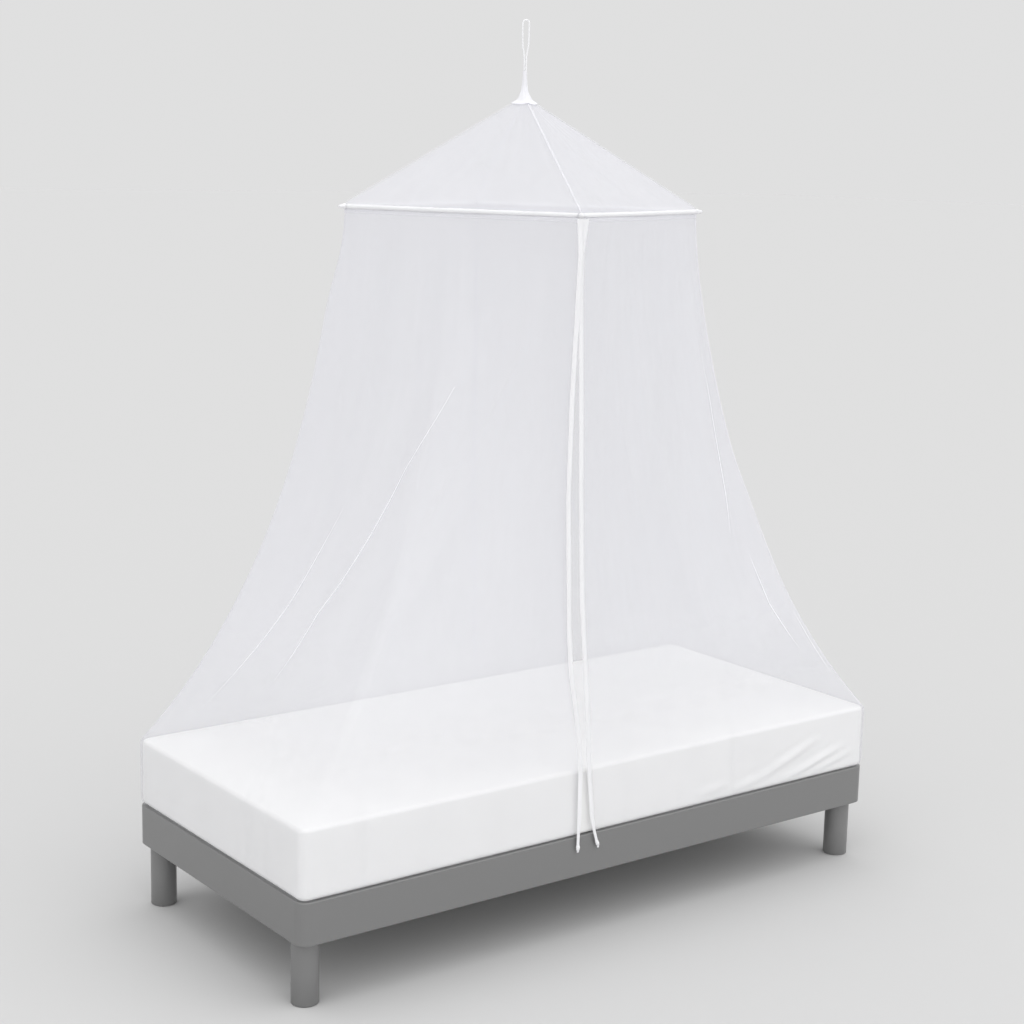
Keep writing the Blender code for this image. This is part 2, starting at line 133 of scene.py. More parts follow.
# Creases: narrow sharp folds, each along a few places given as a turn and a fall.
Crease = namedtuple("Crease", "half_width height pinch path")
CREASES = (
    Crease(0.034, 0.0030, 0.0050, ((0.43, 0.30), (0.55, 0.45), (0.61, 0.56), (0.66, 0.65), (0.70, 0.71),
                                   (0.72, 0.78), (0.74, 0.83))),
    Crease(0.032, 0.0024, 0.0038, ((0.74, 0.53), (0.78, 0.65), (0.80, 0.71), (0.83, 0.78), (0.89, 0.91))),
    Crease(0.018, 0.0035, 0.0, ((0.18, 0.20), (0.27, 0.32), (0.40, 0.46), (0.44, 0.53), (0.46, 0.60))),
    Crease(0.028, 0.0024, 0.0030, ((3.13, 0.26), (3.14, 0.36), (3.16, 0.44), (3.18, 0.52), (3.21, 0.61))),
    Crease(0.028, 0.0020, 0.0028, ((3.12, 0.66), (3.13, 0.76), (3.10, 0.86))),
    Crease(0.028, 0.0018, 0.0024, ((3.04, 0.78), (3.04, 0.85), (3.03, 0.92))),
    Crease(0.028, 0.0016, 0.0022, ((3.00, 0.60), (3.02, 0.65), (3.01, 0.71))),
    Crease(0.020, 0.0030, 0.0, ((3.78, 0.30), (3.70, 0.46), (3.64, 0.60))),
    Crease(0.030, 0.0024, 0.0028, ((1.34, 0.28), (1.30, 0.46), (1.24, 0.68), (1.20, 0.88))),
    Crease(0.016, 0.0040, 0.0, ((1.66, 0.24), (1.60, 0.50), (1.52, 0.78))),
    Crease(0.030, 0.0024, 0.0028, ((2.24, 0.30), (2.32, 0.52), (2.36, 0.74), (2.42, 0.90))),
    Crease(0.016, 0.0040, 0.0, ((2.62, 0.30), (2.70, 0.56), (2.78, 0.82))),
)

# The two tapes that bind the opening's edges, from the spreader down to their knotted ends.
Tape = namedtuple("Tape", "height left_x right_x left_out right_out width thickness")
TAPES = (
    Tape(1.9530, -0.2060, -0.1800, 0.0066, 0.0030, 0.0150, 0.0016),
    Tape(1.8630, -0.1990, -0.1925, 0.0066, 0.0030, 0.0150, 0.0016),
    Tape(1.7530, -0.2030, -0.1915, 0.0066, 0.0030, 0.0150, 0.0016),
    Tape(1.4930, -0.2120, -0.1790, 0.0066, 0.0030, 0.0150, 0.0016),
    Tape(1.2330, -0.2130, -0.1680, 0.0064, 0.0032, 0.0150, 0.0016),
    Tape(0.9630, -0.1990, -0.1525, 0.0062, 0.0036, 0.0150, 0.0016),
    Tape(0.8800, -0.1945, -0.1445, 0.0061, 0.0038, 0.0150, 0.0016),
    Tape(0.7540, -0.1805, -0.1308, 0.0060, 0.0040, 0.0150, 0.0016),
    Tape(0.6680, -0.1625, -0.1208, 0.0060, 0.0042, 0.0150, 0.0016),
    Tape(0.5670, -0.1435, -0.1106, 0.0060, 0.0045, 0.0150, 0.0016),
    Tape(0.4710, -0.1335, -0.1022, 0.0060, 0.0050, 0.0145, 0.0016),
    Tape(0.3380, -0.1328, -0.0885, 0.0060, 0.0058, 0.0135, 0.0018),
    Tape(0.2960, -0.1345, -0.0785, 0.0060, 0.0060, 0.0090, 0.0024),
    Tape(0.2670, -0.1350, -0.0695, 0.0062, 0.0062, 0.0085, 0.0026),
    Tape(0.2630, -0.1350, -0.0680, 0.0064, 0.0064, 0.0120, 0.0060),
    Tape(0.2550, -0.1350, -0.0655, 0.0064, 0.0064, 0.0125, 0.0062),
    Tape(0.2500, -0.1350, -0.0640, 0.0064, 0.0064, 0.0080, 0.0036),
)
KNOT_TOP = 0.2670
KNOT_FOOT = 0.2470
KNOT_ROWS = 22
KNOT_SIDES = 16
TAPE_FULLNESS = 1.04
TAPE_SEWN_FOOT = 0.300
TAPE_HEAD = 0.0028
TAPE_HEAD_FOOT = 1.900
TAPE_SECTION = ((-1, 0), (-0.92, -1), (-0.4, -0.8), (0.4, -0.8), (0.92, -1), (1, 0),
                (0.92, 1), (0.4, 0.8), (-0.4, 0.8), (-0.92, 1))
RIDGE_HALF = 0.0030
RIDGE_THICK = 0.0009
RIDGE_LIFT = 0.0020

# Half of the hanging loop: how far each strand stands from the loop's middle at each height.
Strand = namedtuple("Strand", "height out")
STRANDS = (
    Strand(2.3055, 0.0026),
    Strand(2.3180, 0.0026),
    Strand(2.3400, 0.0026),
    Strand(2.3600, 0.0027),
    Strand(2.3750, 0.0033),
    Strand(2.3860, 0.0050),
    Strand(2.3960, 0.0070),
    Strand(2.4060, 0.0082),
    Strand(2.4250, 0.0087),
    Strand(2.4450, 0.0088),
    Strand(2.4612, 0.0088),
    Strand(2.4656, 0.0076),
    Strand(2.4680, 0.0056),
    Strand(2.4694, 0.0031),
)
LOOP_TOP = 2.4700

# The camera stands off the foot end of the bed's open side.
CAMERA_PLACE = Vector((-3.25, -4.26, 2.113))
CAMERA_YAW = radians(37.0)
CAMERA_DIP = radians(10.7)
CAMERA_ROLL = radians(1.3)
LENS = 66.8

# How fine the cloth is cut into faces, and how wide its sewn edges are.
WALL_COLUMNS = 200
WALL_ROWS = 150
SIDE_ROWS = 14
HEM_ROWS = 4
ROOF_COLUMNS = 72
ROOF_ROWS = 48
SEAM_WIDTH = 0.007
HEM_WIDTH = 0.011
STRIP_LIFT = 0.0009
CREASE_LIFT = 0.0018
MESH_PITCH = 0.0017
# Cloth layers: they thicken the net's cover and also set how far painted highlight lightens its colour.
CREASE_LAYERS = 2.3
HEM_LAYERS = 1.4

# Sewing thread: each stitch is a small raised bead of thread.
STITCH_PITCH = 0.0038
STITCH_HALF = 0.0013
STITCH_WIDE = 0.00035
STITCH_HIGH = 0.0003

# Soft creases on the mattress's long front side: from one place along and up it to another.
SHEET_DEPTH = 1.5
SheetCrease = namedtuple("SheetCrease", "x_a z_a x_b z_b half_width depth")
SHEET_CREASES = (
    SheetCrease(0.56, 0.326, 0.81, 0.415, 0.013, 0.0045),
    SheetCrease(0.63, 0.296, 0.92, 0.372, 0.012, 0.0050),
    SheetCrease(0.71, 0.292, 0.96, 0.348, 0.010, 0.0035),
    SheetCrease(0.44, 0.305, 0.60, 0.337, 0.014, 0.0025),
    SheetCrease(0.30, 0.316, 0.44, 0.338, 0.016, 0.0020),
)

# Light and colour.
STUDIO_LIGHT = 0.62
KEY_LIGHT = 2.1
KEY_SPREAD = radians(135)
KEY_DIRECTION = Vector((-0.36, -0.95, 0.95))
SIDE_LIGHT = 0.12
SIDE_SPREAD = radians(60)
TOP_SPREAD = radians(100)
SIDE_DIRECTION = Vector((0.75, -0.65, 0.2))
TOP_LIGHT = 0.68
TOP_DIRECTION = Vector((0.5, 0.7, 1.1))
BACKDROP = 0.7433
FLOOR_WHITE = 0.581
NET_COLOUR = (0.81, 0.81, 0.83)
BINDING_COLOUR = (0.94, 0.94, 0.95)
# Painted highlight colour that lightens the net where it lies doubled in creases, hems and seams.
FOLD_HIGHLIGHT_COLOUR = (0.98, 0.98, 0.99)
NET_GLOW = (0.80, 0.80, 0.93, 1.0)
NET_THROUGH = 0.20


# Counts, small distances and shares, in the order of the functions that use them.
SENSOR_WIDTH = 36
CLIP_END = 200
FLOOR_REACH = 80.0
FLOOR_DROP = 0.0005
WELD_REACH = 0.0001
STITCH_TAPER = 0.4
HEAD_PANEL = 0.72
FOOT_PANEL = 1.44
CREASE_FADE = 0.08
RIPPLE_HEAD = 0.12
RIPPLE_FOOT = 0.10
RIPPLE_SLOW = 0.0050
RIPPLE_FINE = 0.0016
SPREADER_REACH = 0.47
BED_HALF_LONG = 1.0
BED_HALF_WIDE = 0.45
EDGE_CALM = 0.08
NORMAL_REACH = 0.02
HEM_INSET = 0.055
STRIP_TAPER = 0.3
STRIP_TIP = 0.1
CREASE_STEPS = 6
HEM_STEPS = 60
SEAM_TURN = 0.006
SEAM_STEPS = 160
ROOF_CALM = 0.1
ROOF_FOOT_CALM = 0.08
ROOF_PLEAT = 0.004
SLEEVE_STEPS = 160
SLEEVE_SIDES = 20
SLEEVE_AHEAD = 0.001
SLEEVE_SKIN = 0.0004
SLEEVE_SLIT = 0.02
SLEEVE_CRINKLE = 0.0005
SLEEVE_CRINKLES = 60
FIN_LEVELS = (1, 0.6, 0.2)
CAP_SHARES = (0.5, 0.02)
SEWN_INSET = 0.002
SEWN_MARGIN = 0.01
CROWN_PER_SIDE = 24
CROWN_ROWS = 6
CROWN_ABOVE = 0.005
CROWN_NECKS = ((0.0125, 2.2730), (0.0100, 2.2790), (0.0085, 2.2880), (0.0074, 2.2960),
               (NECK_RADIUS, NECK_HEIGHT), (0.0061, 2.3150), (0.0057, 2.3250), (0.0055, 2.3340))
CROWN_PLEAT = 0.06
CROWN_PLEATS = 11
CROWN_SEWN_RISE = 0.005
CROWN_SEWN_ABOVE = 0.0055
RIDGE_STEPS = 60
RIDGE_SEWN = 0.65
RIDGE_OPPOSITE = 5
POCKET_PROFILE = ((-0.002, 0.0002), (-0.003, 0.0040), (-0.003, 0.0068), (0.000, 0.0074),
                  (0.003, 0.0070), (0.008, 0.0056), (0.013, 0.0042),
                  (0.0165, 0.0031), (0.0180, 0.0018), (0.0182, 0.0004))
POCKET_SIDES = 20
POCKET_PUCKER = 0.05
KNOT_BALL_END = 0.78
KNOT_TAIL_START = 0.74
KNOT_TAIL = 0.42
KNOT_ROUNDNESS = 0.6
KNOT_WINDING = 0.13
KNOT_TWIST = 13
KNOT_CORE = 0.0014
KNOT_SWELL = 0.0046
KNOT_FLATNESS = 0.8
KNOT_DEEPEST = 0.0048
KNOT_LAP = 0.002
TAPE_STEPS = 320
TAPE_WIDEST = 0.0155
TAPE_THICKEST = 0.0026
TAPE_TWIST = 0.0006
TAPE_TWISTS = 9
TAPE_SEWN = 0.7
TAPE_SEWN_OUT = 0.9
CORD_RINGS = 5
SHARPEST_CORNER = 0.00002
EDGE_STEPS = 8
UPRIGHT_STEPS = 30
CAP_INSETS = (1.0, 0.75, 0.5, 0.3, 0.15)
SHEET_FRONT = 0.02
SHEET_FADE = 0.03
TROUGH_DEPTH = 0.4
TROUGH_AWAY = 1.6
MATTRESS_COUNTS = (110, 12, 90)
MATTRESS_SOFTNESS = 0.0015
MATTRESS_SKIN = 0.0002
BASE_COUNTS = (40, 16, 20)
LEG_SIDES = 72
# Colour inputs of the net's mix node: the plain net and its painted highlight.
MIX_PLAIN = 6
MIX_HIGHLIGHT = 7
MESH_THICK = 0.58
MESH_THIN = 0.30
COTTON_WHITE = (0.90, 0.90, 0.895)
PAINT_GREY = (0.175, 0.175, 0.175)


# ---------------------------------------------------------------- stage

def make_camera():
    data = bpy.data.cameras.new("camera")
    data.lens = LENS
    data.sensor_width = SENSOR_WIDTH
    data.clip_end = CLIP_END
    camera = bpy.data.objects.new("camera", data)
    turned = Matrix.Rotation(-CAMERA_YAW, 4, "Z") @ Matrix.Rotation(pi / 2 - CAMERA_DIP, 4, "X")
    camera.matrix_world = Matrix.Translation(CAMERA_PLACE) @ turned @ Matrix.Rotation(CAMERA_ROLL, 4, "Z")
    bpy.context.scene.collection.objects.link(camera)
    bpy.context.scene.camera = camera


def make_floor():
    mesh = bpy.data.meshes.new("floor")
    reach = FLOOR_REACH
    corners = [(-reach, -reach, 0), (reach, -reach, 0), (reach, reach, 0), (-reach, reach, 0)]
    mesh.from_pydata(corners, [], [(0, 1, 2, 3)])
    floor = bpy.data.objects.new("floor", mesh)
    floor.location.z = -FLOOR_DROP
    bpy.context.scene.collection.objects.link(floor)
    made = bpy.data.materials.new("floor")
    made.use_nodes = True
    shader = made.node_tree.nodes["Principled BSDF"]
    shader.inputs["Base Color"].default_value = (FLOOR_WHITE, FLOOR_WHITE, FLOOR_WHITE, 1)
    shader.inputs["Roughness"].default_value = 1.0
    shader.inputs["Specular IOR Level"].default_value = 0.0
    mesh.materials.append(made)


def make_light():
    """A white room all round, seen as a plain backdrop, and broad soft lights from the front and above."""
    world = bpy.data.worlds.new("studio")
    bpy.context.scene.world = world
    world.use_nodes = True
    tree = world.node_tree
    room = tree.nodes["Background"]
    room.inputs["Color"].default_value = (1, 1, 1, 1)
    room.inputs["Strength"].default_value = STUDIO_LIGHT
    seen = tree.nodes.new("ShaderNodeBackground")
    seen.inputs["Color"].default_value = (BACKDROP, BACKDROP, BACKDROP, 1)
    path = tree.nodes.new("ShaderNodeLightPath")
    mix = tree.nodes.new("ShaderNodeMixShader")
    tree.links.new(path.outputs["Is Camera Ray"], mix.inputs[0])
    tree.links.new(room.outputs[0], mix.inputs[1])
    tree.links.new(seen.outputs[0], mix.inputs[2])
    tree.links.new(mix.outputs[0], tree.nodes["World Output"].inputs[0])
    for name, energy, spread, direction in (
            ("softbox", KEY_LIGHT, KEY_SPREAD, KEY_DIRECTION),
            ("side_panel", SIDE_LIGHT, SIDE_SPREAD, SIDE_DIRECTION),
            ("top_panel", TOP_LIGHT, TOP_SPREAD, TOP_DIRECTION)):
        sun = bpy.data.lights.new(name, "SUN")
        sun.energy = energy
        sun.angle = spread
        lamp = bpy.data.objects.new(name, sun)
        lamp.rotation_euler = direction.to_track_quat("Z", "Y").to_euler()
        bpy.context.scene.collection.objects.link(lamp)
    bpy.context.scene.view_settings.view_transform = "Standard"


# ---------------------------------------------------------------- meshes

def smooth_step(share):
    share = min(max(share, 0.0), 1.0)
    return share * share * (3 - 2 * share)


def place_object(name, mesh, material, replaced=()):
    """Links a finished mesh, gives it its material and slot, and lets it ride on the row's one body."""
    thing = bpy.data.objects.new(name, mesh)
    bpy.context.scene.collection.objects.link(thing)
    mesh.materials.append(material)
    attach(thing, "root")
    if replaced:
        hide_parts(*replaced)
    return thing


def joined_grids(name, grids, welded=False):
    """One smooth mesh of grids: rows of points, rows of cloth places, closed or not, and layers of cloth."""
    points = []
    places = []
    faces = []
    layers = []
    for rows, cloth, closed, *more in grids:
        start = len(points)
        layers.extend([more[0] if more else 1.0] * len(rows) * len(rows[0]))
        count = len(rows[0])
        for row, spots in zip(rows, cloth):
            points.extend(tuple(point) for point in row)
            places.extend(spots)
        spans = count if closed else count - 1
        for row in range(len(rows) - 1):
            low = start + row * count
            for column in range(spans):
                after = (column + 1) % count
                faces.append((low + column, low + after, low + count + after, low + count + column))
    mesh = bpy.data.meshes.new(name)
    mesh.from_pydata(points, [], faces)
    index = np.empty(len(mesh.loops), np.int32)
    mesh.loops.foreach_get("vertex_index", index)
    layer = mesh.uv_layers.new(name="cloth")
    layer.data.foreach_set("uv", np.array(places, np.float32)[index].ravel())
    mesh.attributes.new("layers", "FLOAT", "POINT").data.foreach_set("value", layers)
    if welded:
        bm = bmesh.new()
        bm.from_mesh(mesh)
        bmesh.ops.remove_doubles(bm, verts=bm.verts, dist=WELD_REACH)
        bm.to_mesh(mesh)
        bm.free()
    mesh.update()
    mesh.shade_smooth()
    return mesh


def metric_places(rows):
    """Cloth places for a grid: how far each point is across its row and down its column, in metres."""
    down = 0.0
    cloth = []
    for number, row in enumerate(rows):
        if number:
            middle = len(row) // 2
            down += (row[middle] - rows[number - 1][middle]).length
        across = 0.0
        spots = [(0.0, down)]
        for before, after in zip(row, row[1:]):
            across += (after - before).length
            spots.append((across, down))
        cloth.append(spots)
    return cloth


def stitch(middle, along, out):
    """One stitch as a small grid, raised in its middle."""
    side = along.cross(out).normalized()
    rows = []
    for ahead in (-1, 0, 1):
        slim = 1 - STITCH_TAPER * abs(ahead)
        rows.append([
            middle + along * STITCH_HALF * ahead + side * STITCH_WIDE * slim * across
            + out * STITCH_HIGH * (1 - abs(across)) * slim
            for across in (-1, 0, 1)])
    return rows, metric_places(rows), False


def stitch_row(line, outs):
    """Stitches at an even pitch along a line of points, each raised in its out direction."""
    grids = []
    walked = STITCH_PITCH / 2
    for start, end, out in zip(line, line[1:], outs):
        along = end - start
        length = along.length
        along.normalize()
        while walked < length:
            grids.append(stitch(start + along * walked, along, out))
            walked += STITCH_PITCH
        walked -= length
    return grids


# ---------------------------------------------------------------- where the cloth hangs

def corner_place(turn):
    corner = CORNERS[turn % 4]
    return Vector((corner.x, corner.y))


def side_place(turn, share):
    """A point on the spreader's side that starts at this corner, bowed a little outwards."""
    start = corner_place(turn)
    end = corner_place(turn + 1)
    along = end - start
    out = Vector((-along.y, along.x)).normalized()
    if out.dot(start - CENTRE) < 0:
        out.negate()
    return start.lerp(end, share) + out * SIDE_BOW * 4 * share * (1 - share)


def rounded_runs(half_x, half_y, radius):
    """A rounded rectangle as runs from the middle of its front side round by the left end."""
    run_x = half_x - radius
    run_y = half_y - radius
    arc = pi / 2 * radius
    return (
        ("line", Vector((0, -half_y)), Vector((-1, 0)), run_x),
        ("arc", Vector((-run_x, -run_y)), -pi / 2, arc),
        ("line", Vector((-half_x, -run_y)), Vector((0, 1)), 2 * run_y),
        ("arc", Vector((-run_x, run_y)), -pi, arc),
        ("line", Vector((-run_x, half_y)), Vector((1, 0)), 2 * run_x),
        ("arc", Vector((run_x, run_y)), pi / 2, arc),
        ("line", Vector((half_x, run_y)), Vector((0, -1)), 2 * run_y),
        ("arc", Vector((run_x, -run_y)), 0.0, arc),
        ("line", Vector((run_x, -half_y)), Vector((-1, 0)), run_x),
    )


def run_place(runs, radius, distance):
    """The point of a rounded rectangle at a distance along it."""
    for kind, start, heading, length in runs:
        if distance <= length:
            break
        distance -= length
    if kind == "line":
        return start + heading * min(distance, length)
    angle = heading - min(distance, length) / radius
    return start + Vector((cos(angle), sin(angle))) * radius


BED_RADIUS = MATTRESS_CORNER + WALL_CLEARANCE
BED_RUNS = rounded_runs(MATTRESS_HIGH.x + WALL_CLEARANCE, MATTRESS_HIGH.y + WALL_CLEARANCE, BED_RADIUS)
BED_ROUND = sum(run[3] for run in BED_RUNS)


def low_ends(turn):
    """How far along the bed's outline a panel's lower edge starts and ends."""
    ends = [0.0]
    for run in BED_RUNS:
        ends.append(ends[-1] + run[3])
    left = (ends[3] + ends[4]) / 2
    back = (ends[4] + ends[5]) / 2 + LOW_BACK
    right = (ends[7] + ends[8]) / 2
    limits = (LOW_LEFT_TAPE, left, back, right, ends[9] + LOW_RIGHT_TAPE)
    return limits[turn], limits[turn + 1]


LOW_ENDS = [low_ends(panel.turn) for panel in PANELS]


def flare(fall):
    """How much of the way out from spreader to bed the wall has gone: little at first."""
    return FLARE_SHARE * fall ** FLARE_EARLY + (1 - FLARE_SHARE) * fall ** FLARE_LATE


def tape_value(height, column):
    """A column of the tape table at a height, eased between its rows."""
    for above, below in zip(TAPES, TAPES[1:]):
        if height >= below.height:
            break
    share = (above.height - height) / (above.height - below.height)
    share = min(max(share, 0.0), 1.0)
    return getattr(above, column) * (1 - share) + getattr(below, column) * share


def panel_width(fall):
    """About how wide a wall panel is at a fall."""
    return HEAD_PANEL * (1 - flare(fall)) + FOOT_PANEL * flare(fall)


def fold_push(turn, fall):
    """How far the broad folds stand out of the plain wall at a turn and fall."""
    width = panel_width(fall)
    push = 0.0
    for fold in FOLDS:
        middle = fold.top_turn + (fold.low_turn - fold.top_turn) * min(
            max((fall - fold.top_fall) / (fold.low_fall - fold.top_fall), 0.0), 1.0)
        across = (turn - middle) * width / fold.half_width
        if abs(across) > 3:
            continue
        ends = min(fall - fold.top_fall, fold.low_fall - fall) + FOLD_FADE / 2
        push += fold.height * smooth_step(ends / FOLD_FADE) * exp(-across * across)
    return push


def crease_push(turn, fall):
    """How far the creases stand out: sharp at their line and soft beside it."""
    push = 0.0
    width = panel_width(fall)
    for crease in CREASES:
        top, low = crease.path[0][1], crease.path[-1][1]
        if not top <= fall <= low:
            continue
        for (turn_a, fall_a), (turn_b, fall_b) in zip(crease.path, crease.path[1:]):
            if fall <= fall_b:
                break
        middle = turn_a + (turn_b - turn_a) * (fall - fall_a) / (fall_b - fall_a)
        across = abs(turn - middle) * width / crease.half_width
        if across < 4:
            ends = min(fall - top, low - fall) / CREASE_FADE
            push += crease.height * smooth_step(ends) * exp(-across)
    return push


def ripple(turn, fall):
    """Slight unevenness of hanging cloth: long slow waves down the wall."""
    spread = Vector((turn * 9.0, fall * 1.6, 3.7))
    fine = Vector((turn * 26.0 + fall * 3.0, fall * 2.6, 8.1))
    hold = min(fall / RIPPLE_HEAD, (1.0 - fall) / RIPPLE_FOOT, 1.0)
    return (noise.noise(spread) * RIPPLE_SLOW + noise.noise(fine) * RIPPLE_FINE) * max(hold, 0.0)


def out_of(place, fall):
    """The level direction that points out of the net at a place."""
    half_x = SPREADER_REACH * (1 - flare(fall)) + BED_HALF_LONG * flare(fall)
    half_y = SPREADER_REACH * (1 - flare(fall)) + BED_HALF_WIDE * flare(fall)
    return Vector((place.x / half_x ** 2, place.y / half_y ** 2)).normalized()


def wall_place(turn, share, height, detail=True):
    """A point of the wall's cloth on the panel that starts at this corner."""
    fall = min((WALL_TOP - height) / (WALL_TOP - WALL_FOOT), 1.0)
    first, last = LOW_ENDS[turn]
    distance = first + (last - first) * share
    if distance <= BED_ROUND:
        low = run_place(BED_RUNS, BED_RADIUS, distance)
    else:
        low = run_place(BED_RUNS, BED_RADIUS, 0) - Vector((distance - BED_ROUND, 0))
    place = side_place(turn, share).lerp(low, flare(fall))
    push = fold_push(turn + share, fall)
    if detail:
        edge = 1.0
        if turn == 0:
            edge = smooth_step(share / EDGE_CALM)
        if turn == 3:
            edge = smooth_step((1 - share) / EDGE_CALM)
        push += (crease_push(turn + share, fall) + ripple(turn + share, fall)) * edge
    place += out_of(place, fall) * push
    if turn == 0:
        bound = side_place(0, 0).lerp(run_place(BED_RUNS, BED_RADIUS, first), flare(fall)).x
        place.x += (tape_value(height, "left_x") - bound) * (1 - share) ** 3
    if turn == 3:
        bound = side_place(3, 1).lerp(Vector((-LOW_RIGHT_TAPE, 0)), flare(fall)).x
        place.x += (tape_value(height, "right_x") - bound) * share ** 3
    return Vector((place.x, place.y, height))


def wall_at(turn, fall):
    """The wall's point at any turn from 0 to 4."""
    panel = min(int(turn), 3)
    return wall_place(panel, turn - panel, WALL_TOP + (WALL_FOOT - WALL_TOP) * fall)


def wall_normal(turn, fall):
    """The wall's outward direction at a place, evened over a few centimetres."""
    panel = min(int(turn), 3)
    reach = NORMAL_REACH
    across = wall_at(min(turn + reach, panel + 1), fall) - wall_at(max(turn - reach, panel), fall)
    down = wall_at(turn, min(fall + reach, 1.0)) - wall_at(turn, max(fall - reach, 0.0))
    out = across.cross(down).normalized()
    if out.xy.dot(out_of(wall_at(turn, fall).xy, fall)) < 0:
        out.negate()
    return out


# ---------------------------------------------------------------- the net's pieces

def wall_heights():
    """Heights of a wall's rows down to the mattress's lower edge."""
    step = (WALL_TOP - WALL_FOOT) / WALL_ROWS
    heights = [WALL_TOP - step * row for row in range(WALL_ROWS + 1)]
    foot = BASE_TOP + HEM_TURN
    return heights + [WALL_FOOT + (foot - WALL_FOOT) * (row + 1) / SIDE_ROWS for row in range(SIDE_ROWS)]


def tucked(point, share):
    """A hem point: the cloth turned in under the mattress's edge."""
    inset = HEM_INSET
    inner = Vector((
        max(BASE_LOW.x + inset, min(BASE_HIGH.x - inset, point.x)),
        max(BASE_LOW.y + inset, min(BASE_HIGH.y - inset, point.y)),
    ))
    inwards = (inner - point.xy).normalized() * HEM_TUCK * share ** 2
    return Vector((point.x + inwards.x, point.y + inwards.y, BASE_TOP + HEM_TURN - HEM_DROP * share))


def wall_grid(turn):
    shares = [column / WALL_COLUMNS for column in range(WALL_COLUMNS + 1)]
    rows = [[wall_place(turn, share, height) for share in shares] for height in wall_heights()]
    foot = rows[-1]
    for row in range(HEM_ROWS):
        rows.append([tucked(point, (row + 1) / HEM_ROWS) for point in foot])
    cloth = []
    down = 0.0
    for number, row in enumerate(rows):
        if number:
            down += (row[len(row) // 2] - rows[number - 1][len(row) // 2]).length
        wide = sum((b - a).length for a, b in zip(row[::8], row[8::8]))
        cloth.append([((share - 0.5) * wide, down) for share in shares])
    return rows, cloth, False


def strip_on_wall(path, width, layers, taper=False):
    """A narrow strip of doubled cloth on the wall's outside, along turns and falls."""
    middles = [wall_at(turn, fall) for turn, fall in path]
    rows = []
    for number, middle in enumerate(middles):
        before = middles[max(number - 1, 0)]
        after = middles[min(number + 1, len(middles) - 1)]
        along = (after - before).normalized()
        out = wall_normal(*path[number])
        side = along.cross(out).normalized()
        out = side.cross(along).normalized()
        share = number / (len(middles) - 1)
        swell = smooth_step(min(share, 1 - share) / STRIP_TAPER) if taper else 1.0
        half = width / 2 * (swell * (1 - STRIP_TIP) + STRIP_TIP)
        lift = out * (STRIP_LIFT + (CREASE_LIFT - STRIP_LIFT) * swell if taper else STRIP_LIFT)
        rows.append([middle - side * half + lift, middle + side * half + lift])
    return rows, metric_places(rows), False, layers


def along_path(path, steps):
    """Places spread evenly over a crease's path."""
    found = []
    for (turn_a, fall_a), (turn_b, fall_b) in zip(path, path[1:]):
        for step in range(steps):
            share = step / steps
            found.append((turn_a + (turn_b - turn_a) * share, fall_a + (fall_b - fall_a) * share))
    return found + [path[-1]]


def build_walls(net, front):
    for panel in PANELS:
        turn = panel.turn
        cloth = front if panel.name.startswith("front") else net
        grids = [wall_grid(turn)]
        for crease in CREASES:
            if crease.pinch and int(crease.path[0][0]) == turn:
                path = along_path(crease.path, CREASE_STEPS)
                grids.append(strip_on_wall(path, crease.pinch, CREASE_LAYERS, taper=True))
        head = HEM_WIDTH / 2 / (WALL_TOP - WALL_FOOT)
        hem = [(turn + step / HEM_STEPS, head) for step in range(HEM_STEPS + 1)]
        grids.append(strip_on_wall(hem, HEM_WIDTH, HEM_LAYERS))
        if turn:
            seam = [(turn + SEAM_TURN, step / SEAM_STEPS) for step in range(2, SEAM_STEPS)]
            grids.append(strip_on_wall(seam, SEAM_WIDTH, HEM_LAYERS))
        mesh = joined_grids("wall_" + panel.name, grids)
        wall = place_object("net_wall_" + panel.name, mesh, cloth, ("wall_" + panel.name,))


def roof_place(turn, share, rise):
    """A point of the roof panel over this side: rise 0 at the spreader, 1 at the apex."""
    foot = side_place(turn, share)
    level = foot.lerp(APEX.xy, rise)
    sag = ROOF_SAG * 4 * share * (1 - share) * 4 * rise * (1 - rise)
    return Vector((level.x, level.y, ROOF_FOOT + (APEX.z - ROOF_FOOT) * rise - sag))


def roof_ripple(turn, share, rise):
    """Faint pleats that run down from the apex, flat at the seams and the foot."""
    hold = smooth_step(share / ROOF_CALM) * smooth_step((1 - share) / ROOF_CALM)
    hold *= smooth_step(rise / ROOF_FOOT_CALM)
    waves = noise.noise(Vector((turn * 5.0 + share * 13.0, rise * 1.2, 1.9)))
    return waves * ROOF_PLEAT * hold * (1 - rise)


def build_roof(net):
    for panel in PANELS:
        rows = []
        for row in range(ROOF_ROWS + 1):
            rise = ROOF_END * (1 - row / ROOF_ROWS)
            line = []
            for column in range(ROOF_COLUMNS + 1):
                share = column / ROOF_COLUMNS
                place = roof_place(panel.turn, share, rise)
                place.z += roof_ripple(panel.turn, share, rise)
                line.append(place)
            rows.append(line)
        mesh = joined_grids("roof_" + panel.name, [(rows, metric_places(rows), False)])
        roof = place_object("net_roof_" + panel.name, mesh, net, ("roof_" + panel.name,))


